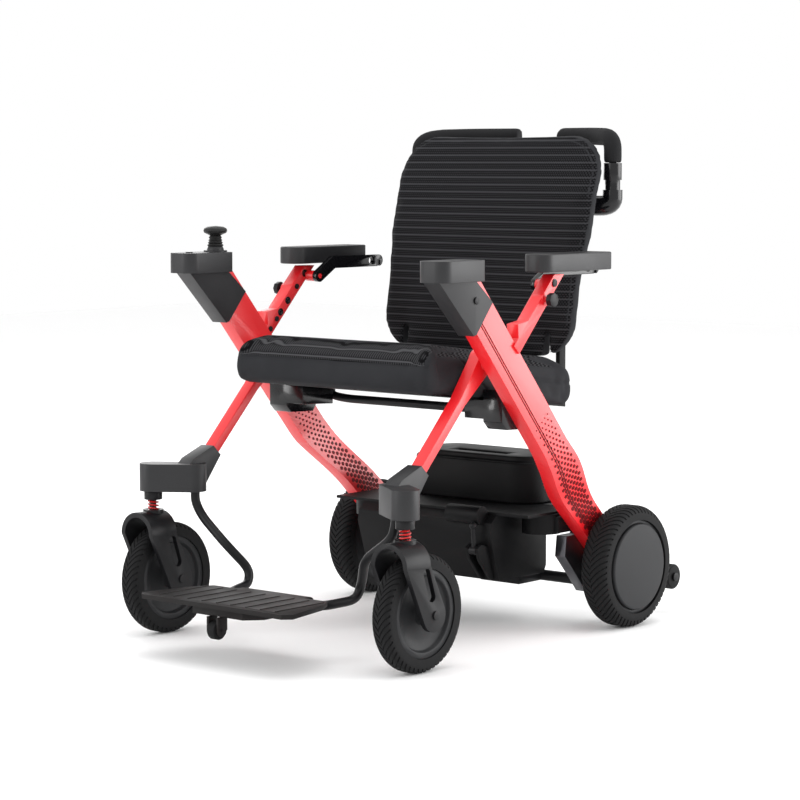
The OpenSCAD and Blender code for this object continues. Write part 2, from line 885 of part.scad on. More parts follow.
module fork_leg_view() {
    low = [caster_axle_y - 2, caster_r];
    down = unit(low - [stem_y - 9, crown_z]);
    side = [-down[1], down[0]];
    difference() {
        union() {
            polygon([
                [stem_y - 37, crown_z], [stem_y + 17, crown_z],
                low + side * fork_w / 2, low - side * fork_w / 2
            ]);
            translate(low) circle(fork_w / 2);
        }
        // Long slot
        strip([stem_y + 8, caster_r + 64], [stem_y + 20, caster_r + 28], 15);
        translate([stem_y + 8, caster_r + 64]) circle(7.5);
        translate([stem_y + 20, caster_r + 28]) circle(7.5);
    }
}

module caster_fork() {
    depth = 26;
    color(black) translate([caster_x, 0, 0]) {
        difference() {
            union() {
                for (x = [-fork_out, fork_in])
                    extrude_x(x, x + fork_t) fork_leg_view();
                // Arched crown
                difference() {
                    translate([0, stem_y - depth - 11, crown_z]) rotate([-90, 0, 0])
                        cylinder(h = 2 * depth + 2, r = fork_out);
                    translate([0, stem_y - depth - 20, crown_z]) rotate([-90, 0, 0])
                        cylinder(h = 3 * depth, r = fork_in);
                    translate([-60, stem_y - 60, crown_z - 60]) cube([120, 120, 60]);
                }
                rod_z(0, stem_y, 16.5, spring_z - 7, neck_top_z);
            }
            rod_z(0, stem_y, 11, spring_z, neck_top_z + 1);
            rod_x(caster_axle_y, caster_r, caster_axle_r, -fork_out - 1, fork_out + 1);
        }
        rod_z(0, stem_y, stem_r, spring_z - 6, collar_z + 36);
        // Axle bolt and nut
        rod_x(caster_axle_y, caster_r, caster_axle_r, -fork_out, fork_out);
        for (x = [-fork_out - 3, fork_out])
            rod_x(caster_axle_y, caster_r, 7, x, x + 3);
    }
}

module caster_fork_left() { caster_fork(); }
module caster_fork_right() { right_side() caster_fork(); }

// Wheel shape turned about its axle
module turned(x, y, z) {
    translate([x, y, z]) rotate([0, 90, 0]) rotate_extrude($fn = 96) children();
}

module caster_rim() {
    r = caster_r - caster_rubber;
    w = caster_tyre_w / 2 - 2;
    color(grey) turned(caster_x, caster_axle_y, caster_r)
        polygon([
            [caster_axle_r + run, -fork_in + 1], [15, -fork_in + 1], [17, -8], [40, -5], [r - 12, -9],
            [r - 9, -w], [r, -w], [r, w], [r - 9, w], [r - 12, 9], [40, 5], [17, 8],
            [15, fork_in - 1], [caster_axle_r + run, fork_in - 1]
        ]);
}

module caster_rim_left() { caster_rim(); }
module caster_rim_right() { right_side() caster_rim(); }

// Tyre outline: flat seat on the rim, round shoulders and tread
module tyre_view(r, rubber_t, w) {
    seat = r - rubber_t;
    bulge = w / 2;
    polygon([
        [seat, -bulge + 3], [seat + 4, -bulge], [r - bulge * 0.5, -bulge], [r - bulge * 0.26, -bulge * 0.86],
        [r - bulge * 0.08, -bulge * 0.55], [r, -bulge * 0.2], [r, bulge * 0.2],
        [r - bulge * 0.08, bulge * 0.55], [r - bulge * 0.26, bulge * 0.86], [r - bulge * 0.5, bulge],
        [seat + 4, bulge], [seat, bulge - 3]
    ]);
}

module caster_tyre() {
    color(rubber) turned(caster_x, caster_axle_y, caster_r)
        tyre_view(caster_r, caster_rubber, caster_tyre_w);
}

module caster_tyre_left() { caster_tyre(); }
module caster_tyre_right() { right_side() caster_tyre(); }

// ---- Drive wheels ----

module drive_tyre() {
    color(rubber) turned(drive_x, drive_y, drive_r)
        tyre_view(drive_r, drive_rubber, drive_tyre_w);
}

module drive_tyre_left() { drive_tyre(); }
module drive_tyre_right() { right_side() drive_tyre(); }

// Rim and hollow motor shell
module drive_hub() {
    r = drive_r - drive_rubber;
    w = drive_tyre_w / 2;
    color(grey) turned(drive_x, drive_y, drive_r)
        polygon([
            [drive_axle_r + run, -w + 3], [r - 8, -w + 3], [r, -w + 5], [r, w - 4], [r - 5.7, w - 4],
            [r - 5.7, w - 6], [drive_axle_r + run, w - 6], [drive_axle_r + run, w - 10],
            [r - 12, w - 10], [r - 12, -w + 8], [drive_axle_r + run, -w + 8]
        ]);
}

module drive_hub_left() { drive_hub(); }
module drive_hub_right() { right_side() drive_hub(); }

// Flat cover over the motor
module hub_cover() {
    r = drive_r - drive_rubber - 6;
    w = drive_tyre_w / 2;
    color(grey) turned(drive_x, drive_y, drive_r)
        polygon([[0, w - 6], [r, w - 6], [r, w], [r - 2, w + 2], [0, w + 2]]);
}

module hub_cover_left() { hub_cover(); }
module hub_cover_right() { right_side() hub_cover(); }

// ---- Backrest, which folds down over the seat ----

module backrest_outline() {
    low_r = 70;
    top_r = 72;
    low_half = seat_x;
    top_half = seat_x + 9;
    polygon([
            [-low_half + low_r, back_low_z], [low_half - low_r, back_low_z], [low_half, back_low_z + low_r],
            [low_half, back_wide_z], [top_half, back_full_z], [top_half, back_top_z - top_r],
            [top_half - top_r, back_top_z], [-top_half + top_r, back_top_z],
            [-top_half, back_top_z - top_r], [-top_half, back_full_z], [-low_half, back_wide_z],
            [-low_half, back_low_z + low_r]
        ]);
    for (x = [-1, 1]) {
        translate([x * (low_half - low_r), back_low_z + low_r]) circle(low_r);
        translate([x * (top_half - top_r), back_top_z - top_r]) circle(top_r);
    }
}

module backrest_pad() {
    shift = [back_t, 0];
    rear = [for (i = [len(back_line) - 1 : -1 : 0]) back_line[i] + shift];
    notch_z = back_hinge_z + lug_half + clear_gap;
    color(cloth) difference() {
        intersection() {
            extrude_x(-seat_x - 20, seat_x + 20) polygon(concat(back_line, rear));
            extrude_y(100, 400) backrest_outline();
        }
        // Slots that pass over the hinge uprights as the backrest folds
        for (side = [0, 1]) mirror([side, 0, 0])
            translate([lug_in - clear_gap, 100, back_low_z - bite])
                cube([lug_t + 2 * clear_gap, 300, notch_z - back_low_z + bite]);
    }
}

module backrest_frame() {
    behind = [for (p = back_line) if (p[1] > 480 && p[1] < back_cross_z) [p[0] + back_tube_back + 1, p[1]]];
    top_y = 240 + back_tube_back + 3;
    half = concat(
        [[back_tube_x, back_hinge_y, back_hinge_z + 6]],
        [for (p = behind) [back_tube_x, p[0], p[1]]],
        [[back_tube_x, top_y, back_cross_z]]
    );
    path = concat(half, [for (i = [len(half) - 1 : -1 : 0]) [-half[i][0], half[i][1], half[i][2]]]);
    color(black) difference() {
        union() {
            sweep(curve(path, 26, 4), back_tube_r, 12);
            for (side = [0, 1]) mirror([side, 0, 0]) {
                rod_x(back_hinge_y, back_hinge_z, 11.2, back_tube_x - 9, back_tube_x + 9);
                // Stub that carries the push handle
                translate(elbow_root) rotate([-90, 0, -atan2(elbow_dir[0], elbow_dir[1])])
                    cylinder(h = norm(elbow_start - elbow_root) - run, r = 12);
            }
        }
        for (side = [0, 1]) mirror([side, 0, 0])
            rod_x(back_hinge_y, back_hinge_z, back_pin_r + run, back_tube_x - 20, back_tube_x + 20);
    }
}

// Lower bend of a push handle, with the pin and ring that the grip turns on
module handle_elbow() {
    path = curve([elbow_start, [handle_x, handle_y, elbow_z], [handle_x, handle_y, elbow_z + 26]], 21, 7);
    color(black) {
        sweep(path, elbow_r, 20);
        rod_z(handle_x, handle_y, handle_r, elbow_z + 24, elbow_z + 44);
        rod_z(handle_x, handle_y, 15, elbow_z + 42, grip_z - 0.3);
        rod_z(handle_x, handle_y, 6, grip_z - bite, grip_z + 22);
    }
}

module handle_elbow_left() { handle_elbow(); }
module handle_elbow_right() { right_side() handle_elbow(); }

// Foam grip, bent inwards and back over the backrest
module handle_grip() {
    path = curve([[handle_x, handle_y, grip_z], [handle_x, handle_y, grip_end[2] - 3],
                  [grip_end[0] + 90, grip_end[1] - 26, grip_end[2]], grip_end], 40, 7);
    color(grey) difference() {
        sweep(path, grip_r, 16);
        rod_z(handle_x, handle_y, 6 + run, grip_z - 10, grip_z + 23);
    }
}

module handle_grip_left() { handle_grip(); }
module handle_grip_right() { right_side() handle_grip(); }

// ---- Rear armrests ----

module rear_pad() {
    r = 22;
    y1 = pad_front_y + pad_len;
    color(grey) translate([0, 0, pad_z]) linear_extrude(pad_t) {
        translate([pad_in + r, pad_front_y + r]) circle(r);
        translate([pad_in + pad_w - r, pad_front_y + r]) circle(r);
        translate([pad_in + r, pad_front_y]) square([pad_w - 2 * r, pad_len]);
        translate([pad_in, pad_front_y + r]) square([pad_w, pad_len - r - 4]);
        translate([pad_in + 4, y1 - 4 - bite]) square([pad_w - 8, 4 + bite]);
    }
}

module rear_pad_left() { rear_pad(); }
module rear_pad_right() { right_side() rear_pad(); }

// Cranked bar beside each pad, hinged on the post
module armrest_bar() {
    r = bar_h / 2;
    knee = [rest_y + 36, bar_mid_z];
    rise = unit(knee - [rest_y, rest_z]);
    side = [-rise[1], rise[0]];
    tilt = atan2(rise[1], rise[0]);
    color(black) difference() {
        extrude_x(bar_in, bar_out)
            polygon(concat(
                [for (i = [0:10]) [rest_y, rest_z] + r * [cos(tilt + 90 + 18 * i), sin(tilt + 90 + 18 * i)]],
                [knee - (side + [0, 1]) * r / (1 + side[1])],
                [for (i = [0:10]) [bar_rear_y - r, bar_mid_z] + r * [cos(18 * i - 90), sin(18 * i - 90)]],
                [knee + [0, r], knee + unit(side + [0, 1]) * r, knee + side * r]
            ));
        rod_x(rest_y, rest_z, rest_pin_r + run, bar_in - 1, bar_out + 1);
        rod_x(bar_rear_y - 30, bar_mid_z, 6.5, bar_in - 1, bar_out + 1);
        translate([bar_in - 1, bar_rear_y - 14, bar_mid_z - r - 1]) cube([bar_out - bar_in + 2, 7, r + 2]);
    }
}

module armrest_bar_left() { armrest_bar(); }
module armrest_bar_right() { right_side() armrest_bar(); }

// Spring-loaded knob on the outside of each post
module release_knob() {
    color(black) translate([post_out + 9, 32, 540]) rotate([0, 90, 0]) difference() {
        union() {
            cylinder(h = 9, r = 11, $fn = 8);
            translate([0, 0, -1]) cylinder(h = bite + 1, r = 8);
        }
        translate([0, 0, -2]) cylinder(h = 6, r = 4 + run);
    }
}

module release_knob_left() { release_knob(); }
module release_knob_right() { right_side() release_knob(); }

// ---- Controls on the right pod ----

module joystick_gimbal() {
    color(steel) translate([-pod_mid_x, stick_y, stick_z]) {
        difference() {
            translate([0, 0, -2.5]) cylinder(h = 5, r = 10);
            translate([0, 0, -3.5]) cylinder(h = 7, r = 6.5);
            translate([0, -12, 0]) rotate([-90, 0, 0]) cylinder(h = 24, r = 1.5 + run);
        }
        for (side = [0, 1]) mirror([side, 0, 0])
            translate([9, 0, 0]) rotate([0, 90, 0]) cylinder(h = 3.3, r = 1.5);
    }
}

module joystick_stick() {
    color(black) translate([-pod_mid_x, stick_y, stick_z]) {
        translate([0, 0, -4]) cylinder(h = 34, r = 3);
        translate([0, -9.5, 0]) rotate([-90, 0, 0]) cylinder(h = 19, r = 1.5);
        // Mushroom knob
        rotate_extrude()
            polygon([[0, 25], [8, 25], [13, 27.5], [18, 30], [19.5, 33.5], [18, 37], [13, 39.5], [0, 41]]);
    }
}

// Bellows around the stick, turning with it over the round seat
module joystick_boot() {
    color(rubber) translate([-pod_mid_x, stick_y, stick_z]) difference() {
        rotate_extrude()
            polygon([
                [3, 8], [12.2, 8], [13.4, 10], [10.6, 12], [12.4, 14], [9.8, 16], [11.6, 18],
                [9.2, 20], [10.8, 22], [9, 25], [3, 25]
            ]);
        sphere(14.3);
    }
}

module power_button() {
    color(grey)
        translate([-pod_mid_x, button_y, pod_z + pod_t - 4]) cylinder(h = 5.5, r = button_r);
}

main_arm_left();
main_arm_right();
rear_post_left();
rear_post_right();
arm_head_left();
arm_head_right();
seat_pan();
seat_cushion();
under_seat_bar();
pivot_brackets();
drive_case();
axle_beam();
drive_axles();
anti_tip_arms();
anti_tip_roller_left();
anti_tip_roller_right();
frame_bolts();
battery_pack();
clutch_lever();
front_arm_left();
front_arm_right();
caster_housing_left();
caster_housing_right();
footrest_tube();
footplate();
footplate_tray();
foot_roller();
caster_collar_left();
caster_collar_right();
caster_spring_left();
caster_spring_right();
caster_fork_left();
caster_fork_right();
caster_rim_left();
caster_rim_right();
caster_tyre_left();
caster_tyre_right();
drive_tyre_left();
drive_tyre_right();
drive_hub_left();
drive_hub_right();
hub_cover_left();
hub_cover_right();
backrest_pad();
backrest_frame();
handle_elbow_left();
handle_elbow_right();
handle_grip_left();
handle_grip_right();
rear_pad_left();
rear_pad_right();
armrest_bar_left();
armrest_bar_right();
release_knob_left();
release_knob_right();
joystick_gimbal();
joystick_stick();
joystick_boot();
power_button();
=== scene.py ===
import json
import math

import bpy
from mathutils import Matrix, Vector


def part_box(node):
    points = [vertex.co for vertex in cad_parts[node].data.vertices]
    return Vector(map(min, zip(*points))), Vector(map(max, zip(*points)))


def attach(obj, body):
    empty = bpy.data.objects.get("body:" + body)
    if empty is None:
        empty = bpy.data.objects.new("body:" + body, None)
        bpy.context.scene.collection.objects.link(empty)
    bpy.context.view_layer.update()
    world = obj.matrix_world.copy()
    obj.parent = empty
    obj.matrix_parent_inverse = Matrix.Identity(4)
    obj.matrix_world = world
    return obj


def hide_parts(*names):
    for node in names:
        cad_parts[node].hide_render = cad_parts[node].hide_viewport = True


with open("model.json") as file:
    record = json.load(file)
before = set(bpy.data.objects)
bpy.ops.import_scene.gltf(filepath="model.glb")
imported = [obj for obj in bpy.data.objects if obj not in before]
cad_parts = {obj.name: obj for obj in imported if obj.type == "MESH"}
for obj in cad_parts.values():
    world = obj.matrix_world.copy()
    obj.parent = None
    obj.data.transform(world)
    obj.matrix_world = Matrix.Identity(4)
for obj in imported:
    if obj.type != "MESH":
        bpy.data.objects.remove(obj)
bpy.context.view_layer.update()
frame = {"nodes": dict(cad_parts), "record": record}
cadNodes = frame["nodes"]
bodyOf = {}
for bodyName, members in frame["record"]["behaviour"]["bodies"].items():
    for member in members:
        bodyOf[member] = bodyName
sides = {"left": 1, "right": -1}
bpy.ops.object.select_all(action="DESELECT")
print("frame loaded")

# Camera, lights and world

view = {"place": (2.7117, -3.2026, 0.7575), "aim": (-0.0486, 0.065, 0.363), "lens": 118}
bpy.ops.object.camera_add(location=view["place"])
camera = bpy.context.object
camera.name = "viewCamera"
camera.data.lens = view["lens"]
camera.data.sensor_width = 36
camera.rotation_euler = (Vector(view["aim"]) - Vector(view["place"])).to_track_quat("-Z", "Y").to_euler()
bpy.context.scene.camera = camera
bpy.context.scene.view_settings.view_transform = "Standard"

studioLights = {
    "sideSoftbox": {"place": (3.2, 2.8, 1.15), "aim": (0.1, 0.05, 0.4), "size": (3.4, 2.8), "power": 150},
    "frontFill": {"place": (-0.8, -4.2, 2.2), "aim": (0, 0, 0.4), "size": (3, 2), "power": 30},
    "topLight": {"place": (0.2, 0.3, 3.4), "aim": (0, 0, 0.4), "size": (2.6, 2.6), "power": 45},
    "farKick": {"place": (-3, 1.6, 1.6), "aim": (0, 0, 0.5), "size": (1.6, 2), "power": 22},
    "frontStrip": {"place": (-2.3, -3.4, 1.3), "aim": (0, 0, 0.45), "size": (0.5, 2.4), "power": 32},
}
for lightName, light in studioLights.items():
    bpy.ops.object.light_add(type="AREA", location=light["place"])
    lamp = bpy.context.object
    lamp.name = lightName
    lamp.data.shape = "RECTANGLE"
    lamp.data.size, lamp.data.size_y = light["size"]
    lamp.data.energy = light["power"]
    lamp.rotation_euler = (Vector(light["aim"]) - Vector(light["place"])).to_track_quat("-Z",
                                                                                        "Y").to_euler()

world = bpy.data.worlds.new("studioWorld")
world.use_nodes = True
world.node_tree.nodes["Background"].inputs["Color"].default_value = (1, 1, 1, 1)
world.node_tree.nodes["Background"].inputs["Strength"].default_value = 1.0
bpy.context.scene.world = world
print("camera and lights placed")

# Node groups that several finishes share


def newGroup(name, inputs, outputs):
    group = bpy.data.node_groups.new(name, "ShaderNodeTree")
    for label, kind, value in inputs:
        socket = group.interface.new_socket(name=label, in_out="INPUT", socket_type=kind)
        socket.default_value = value
    for label, kind in outputs:
        group.interface.new_socket(name=label, in_out="OUTPUT", socket_type=kind)
    ends = group.nodes.new("NodeGroupInput"), group.nodes.new("NodeGroupOutput")
    return group, ends[0], ends[1]


def addNode(tree, kind, **values):
    made = tree.nodes.new(kind)
    for key, value in values.items():
        setattr(made, key, value)
    return made


def mathNode(tree, operation, first, second=0.0, third=None):
    made = addNode(tree, "ShaderNodeMath", operation=operation)
    for place, value in enumerate((first, second, third)):
        if value is None:
            continue
        if isinstance(value, (int, float)):
            made.inputs[place].default_value = value
        else:
            tree.links.new(value, made.inputs[place])
    return made.outputs[0]


def blendColour(tree, factor, low, high):
    made = addNode(tree, "ShaderNodeMix", data_type="RGBA")
    tree.links.new(factor, made.inputs[0])
    for place, value in ((6, low), (7, high)):
        if isinstance(value, tuple):
            made.inputs[place].default_value = value
        else:
            tree.links.new(value, made.inputs[place])
    return made.outputs[2]


def buildGrainGroup():
    group, start, end = newGroup(
        "surfaceGrain",
        [("Light", "NodeSocketColor", (0.1, 0.1, 0.1, 1)), ("Dark", "NodeSocketColor", (0.08, 0.08, 0.08,
                                                                                        1)),
         ("Scale", "NodeSocketFloat", 900.0), ("Rough Low", "NodeSocketFloat", 0.35),
         ("Rough High", "NodeSocketFloat", 0.45)],
        [("Colour", "NodeSocketColor"), ("Roughness", "NodeSocketFloat"), ("Height", "NodeSocketFloat")])
    links = group.links
    place = addNode(group, "ShaderNodeTexCoord").outputs["Object"]
    fine = addNode(group, "ShaderNodeTexNoise")
    fine.inputs["Detail"].default_value = 3
    links.new(place, fine.inputs["Vector"])
    links.new(start.outputs["Scale"], fine.inputs["Scale"])
    broad = addNode(group, "ShaderNodeTexNoise")
    broad.inputs["Scale"].default_value = 14
    broad.inputs["Detail"].default_value = 4
    links.new(place, broad.inputs["Vector"])
    ramp = addNode(group, "ShaderNodeMapRange")
    ramp.inputs["From Min"].default_value = 0.35
    ramp.inputs["From Max"].default_value = 0.65
    links.new(broad.outputs["Fac"], ramp.inputs["Value"])
    rough = addNode(group, "ShaderNodeMapRange")
    links.new(ramp.outputs["Result"], rough.inputs["Value"])
    links.new(start.outputs["Rough Low"], rough.inputs["To Min"])
    links.new(start.outputs["Rough High"], rough.inputs["To Max"])
    links.new(blendColour(group, ramp.outputs["Result"], start.outputs["Dark"], start.outputs["Light"]),
              end.inputs["Colour"])
    links.new(rough.outputs["Result"], end.inputs["Roughness"])
    links.new(fine.outputs["Fac"], end.inputs["Height"])
    return group


def buildWeaveGroup():
    # Rows of short stitches: Row is the spacing across the rows, Stitch the spacing along them
    group, start, end = newGroup(
        "meshWeave",
        [("Thread", "NodeSocketColor", (0.1, 0.1, 0.1, 1)), ("Gap", "NodeSocketColor", (0.01, 0.01, 0.01,
                                                                                        1)),
         ("Along", "NodeSocketFloat", 0.0), ("Across", "NodeSocketFloat", 0.0),
         ("Row", "NodeSocketFloat", 0.005), ("Stitch", "NodeSocketFloat", 0.004),
         ("Line", "NodeSocketFloat", 0.012)],
        [("Colour", "NodeSocketColor"), ("Height", "NodeSocketFloat")])
    links = group.links
    rowPlace = mathNode(group, "DIVIDE", start.outputs["Across"], start.outputs["Row"])
    rowPhase = mathNode(group, "FRACT", rowPlace)
    rowNumber = mathNode(group, "FLOOR", rowPlace)
    stagger = mathNode(group, "MULTIPLY", rowNumber, 0.5)
    stitchPlace = mathNode(group, "ADD", mathNode(group, "DIVIDE", start.outputs["Along"],
                                                  start.outputs["Stitch"]), stagger)
    stitchPhase = mathNode(group, "FRACT", stitchPlace)
    rowWave = mathNode(group, "SINE", mathNode(group, "MULTIPLY", rowPhase, math.pi))
    stitchWave = mathNode(group, "SINE", mathNode(group, "MULTIPLY", stitchPhase, math.pi))
    mask = mathNode(group, "MULTIPLY", rowWave, stitchWave)
    sharp = addNode(group, "ShaderNodeMapRange", interpolation_type="SMOOTHSTEP")
    sharp.inputs["From Min"].default_value = 0.3
    sharp.inputs["From Max"].default_value = 0.75
    links.new(mask, sharp.inputs["Value"])
    # A brighter ridge runs along the rows, one ridge to each Line spacing
    linePhase = mathNode(group, "FRACT", mathNode(group, "DIVIDE", start.outputs["Across"],
                                                  start.outputs["Line"]))
    lineWave = mathNode(group, "SINE", mathNode(group, "MULTIPLY", linePhase, math.pi))
    ridge = addNode(group, "ShaderNodeMapRange", interpolation_type="SMOOTHSTEP")
    ridge.inputs["From Min"].default_value = 0.95
    ridge.inputs["From Max"].default_value = 1.0
    links.new(lineWave, ridge.inputs["Value"])
    stitched = mathNode(group, "MULTIPLY", sharp.outputs["Result"], 0.62)
    shade = mathNode(group, "MAXIMUM", stitched, ridge.outputs["Result"])
    links.new(blendColour(group, shade, start.outputs["Gap"], start.outputs["Thread"]),
              end.inputs["Colour"])
    links.new(mask, end.inputs["Height"])
    return group


grainGroup = buildGrainGroup()
weaveGroup = buildWeaveGroup()
print("node groups built")

# Finishes

finishes = {
    "redPaint": {"light": (0.78, 0.006, 0.012), "dark": (0.74, 0.005, 0.010), "rough": (0.30, 0.36),
                 "scale": 1500,
                 "bump": 0.02, "coat": 0.6, "coatRough": 0.42, "specular": 0.5},
    "springRed": {"light": (0.62, 0.02, 0.02), "dark": (0.5, 0.015, 0.015), "rough": (0.25, 0.32),
                  "scale": 900,
                  "bump": 0.02, "coat": 0.4, "coatRough": 0.15, "specular": 0.3},
    "podGraphite": {"light": (0.020, 0.020, 0.0215), "dark": (0.016, 0.016, 0.0175), "rough": (0.40, 0.48),
                    "scale": 2200, "bump": 0.05, "specular": 0.34},
    "discGraphite": {"light": (0.024, 0.0245, 0.026), "dark": (0.020, 0.0205, 0.022), "rough": (0.42, 0.5),
                     "scale": 1800, "bump": 0.05, "specular": 0.16},
    "satinBlack": {"light": (0.010, 0.010, 0.011), "dark": (0.006, 0.006, 0.007), "rough": (0.34, 0.44),
                   "scale": 1600, "bump": 0.06, "specular": 0.2},
    "glossBlack": {"light": (0.005, 0.005, 0.006), "dark": (0.004, 0.004, 0.005), "rough": (0.16, 0.22),
                   "scale": 700, "bump": 0.01, "coat": 0.35, "coatRough": 0.1, "specular": 0.2},
    "caseBlack": {"light": (0.006, 0.006, 0.0065), "dark": (0.004, 0.004, 0.0045), "rough": (0.42, 0.55),
                  "scale": 1400, "bump": 0.12, "specular": 0.12},
    "tyreRubber": {"light": (0.011, 0.011, 0.0115), "dark": (0.007, 0.007, 0.0075), "rough": (0.62, 0.75),
                   "scale": 1100, "bump": 0.15, "specular": 0.14},
    "footBlack": {"light": (0.010, 0.008, 0.008), "dark": (0.006, 0.005, 0.005), "rough": (0.5, 0.62),
                  "scale": 500, "bump": 0.35, "specular": 0.2},
    "foamGrey": {"light": (0.016, 0.016, 0.017), "dark": (0.011, 0.011, 0.012), "rough": (0.82, 0.92),
                 "scale": 1300, "bump": 0.5, "specular": 0.15},
    "sideCloth": {"light": (0.026, 0.0265, 0.029), "dark": (0.021, 0.0215, 0.024), "rough": (0.7, 0.8),
                  "scale": 1500, "bump": 0.22, "specular": 0.08},
    "boltSteel": {"light": (0.16, 0.16, 0.17), "dark": (0.10, 0.10, 0.11), "rough": (0.3, 0.4),
                  "scale": 900,
                  "bump": 0.04, "metallic": 0.9},
    "bellowsRubber": {"light": (0.016, 0.016, 0.016), "dark": (0.010, 0.010, 0.010), "rough": (0.4, 0.5),
                      "scale": 1200, "bump": 0.08, "specular": 0.25},
    # Dark red for the arm's cells and groove strips: painted shade in place of the shade inside the
    # perforations and grooves
    "recessShadeRed": {"light": (0.13, 0.003, 0.005), "dark": (0.09, 0.002, 0.003), "rough": (0.5, 0.6),
                "scale": 1200,
                "bump": 0.03, "specular": 0.2},
}
materials = {}


def opaque(colour):
    return (colour[0], colour[1], colour[2], 1)


def startMaterial(name, values):
    material = bpy.data.materials.new(name)
    material.use_nodes = True
    tree = material.node_tree
    shader = tree.nodes["Principled BSDF"]
    shader.inputs["Metallic"].default_value = values.get("metallic", 0)
    shader.inputs["Specular IOR Level"].default_value = values.get("specular", 0.5)
    shader.inputs["Coat Weight"].default_value = values.get("coat", 0)
    shader.inputs["Coat Roughness"].default_value = values.get("coatRough", 0.1)
    shader.inputs["Sheen Weight"].default_value = values.get("sheen", 0)
    materials[name] = material
    return tree, shader


def addBump(tree, shader, height, strength, distance=0.0004):
    bump = addNode(tree, "ShaderNodeBump")
    bump.inputs["Strength"].default_value = strength
    bump.inputs["Distance"].default_value = distance
    tree.links.new(height, bump.inputs["Height"])
    tree.links.new(bump.outputs["Normal"], shader.inputs["Normal"])


def grainNode(tree, values):
    grain = addNode(tree, "ShaderNodeGroup", node_tree=grainGroup)
    grain.inputs["Light"].default_value = opaque(values["light"])
    grain.inputs["Dark"].default_value = opaque(values["dark"])
    grain.inputs["Scale"].default_value = values["scale"]
    grain.inputs["Rough Low"].default_value, grain.inputs["Rough High"].default_value = values["rough"]
    return grain


for finishName, values in finishes.items():
    tree, shader = startMaterial(finishName, values)
    grain = grainNode(tree, values)
    tree.links.new(grain.outputs["Colour"], shader.inputs["Base Color"])
    tree.links.new(grain.outputs["Roughness"], shader.inputs["Roughness"])
    addBump(tree, shader, grain.outputs["Height"], values["bump"])

weaves = {
    "seatMesh": {"thread": (0.060, 0.060, 0.064), "gap": (0.0020, 0.0020, 0.0026), "row": 0.0058,
                 "stitch": 0.0046,
                 "along": "X", "across": "Y", "rough": 0.8, "specular": 0.06, "line": 0.0116},
    "backMesh": {"thread": (0.046, 0.046, 0.050), "gap": (0.0030, 0.0030, 0.0036), "row": 0.00305,
                 "stitch": 0.0046,
                 "along": "X", "across": "Z", "rough": 0.8, "specular": 0.06, "line": 0.0122},
}
for weaveName, values in weaves.items():
    tree, shader = startMaterial(weaveName, values)
    shader.inputs["Roughness"].default_value = values["rough"]
    place = addNode(tree, "ShaderNodeTexCoord").outputs["Object"]
    split = addNode(tree, "ShaderNodeSeparateXYZ")
    tree.links.new(place, split.inputs[0])
    weave = addNode(tree, "ShaderNodeGroup", node_tree=weaveGroup)
    weave.inputs["Thread"].default_value = opaque(values["thread"])
    weave.inputs["Gap"].default_value = opaque(values["gap"])
    weave.inputs["Row"].default_value = values["row"]
    weave.inputs["Stitch"].default_value = values["stitch"]
    weave.inputs["Line"].default_value = values["line"]
    tree.links.new(split.outputs[values["along"]], weave.inputs["Along"])
    if values["across"] == "Y":
        # Down the front roll the rows follow the height as well
        down = mathNode(tree, "SUBTRACT", split.outputs["Y"], split.outputs["Z"])
        tree.links.new(down, weave.inputs["Across"])
    else:
        tree.links.new(split.outputs["Z"], weave.inputs["Across"])
    tree.links.new(weave.outputs["Colour"], shader.inputs["Base Color"])
    addBump(tree, shader, weave.outputs["Height"], 0.4, 0.0006)
print("finishes built:", len(materials))

# Workshop helpers


def activate(piece):
    bpy.ops.object.select_all(action="DESELECT")
    piece.select_set(True)
    bpy.context.view_layer.objects.active = piece


def applyModifier(piece, kind, **values):
    activate(piece)
    modifier = piece.modifiers.new(kind.lower(), kind)
    for key, value in values.items():
        setattr(modifier, key, value)
    bpy.ops.object.modifier_apply(modifier=modifier.name)


def applyPlace(piece):
    activate(piece)
    bpy.ops.object.transform_apply(location=True, rotation=True, scale=True)


def smoothPiece(piece, degrees=35):
    activate(piece)
    bpy.ops.object.shade_smooth_by_angle(angle=math.radians(degrees))


def editMesh(piece, mode="FACE"):
    activate(piece)
    bpy.ops.object.mode_set(mode="EDIT")
    bpy.ops.mesh.select_mode(type=mode)


def pickFaces(piece, wanted):
    # Selects the faces whose centre and normal pass the test; called in edit mode
    bpy.ops.mesh.select_all(action="DESELECT")
    bpy.ops.object.mode_set(mode="OBJECT")
    for face in piece.data.polygons:
        face.select = wanted(face.center, face.normal)
    bpy.ops.object.mode_set(mode="EDIT")


def leaveEdit():
    bpy.ops.object.mode_set(mode="OBJECT")


def copyNode(nodeName, pieceName):
    piece = bpy.data.objects.new(pieceName, cadNodes[nodeName].data.copy())
    piece.data.name = pieceName
    piece.data.materials.clear()
    bpy.context.scene.collection.objects.link(piece)
    editMesh(piece, "VERT")
    bpy.ops.mesh.select_all(action="SELECT")
    bpy.ops.mesh.remove_doubles(threshold=0.00002)
    bpy.ops.mesh.dissolve_limited(angle_limit=math.radians(0.4))
    leaveEdit()
    bpy.ops.mesh.customdata_custom_splitnormals_clear()
    return piece


def mountPiece(piece, material, standsFor=(), body=None):
    names = [standsFor] if isinstance(standsFor, str) else list(standsFor)
    if material:
        piece.data.materials.clear()
        piece.data.materials.append(materials[material])
    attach(piece, body or bodyOf[names[0]])
    if names:
        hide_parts(*names)


def roundedCopy(nodeName, pieceName, material, width, segments=2, sharpAngle=32):
    piece = copyNode(nodeName, pieceName)
    if width:
        applyModifier(piece, "BEVEL", width=width, segments=segments, limit_method="ANGLE",
                      angle_limit=math.radians(sharpAngle), use_clamp_overlap=True)
    smoothPiece(piece)
    mountPiece(piece, material, nodeName)
    return piece


def sideName(stem, side):
    return stem + side.capitalize()


# Hard pieces: rounded and finished from the frame's own shapes

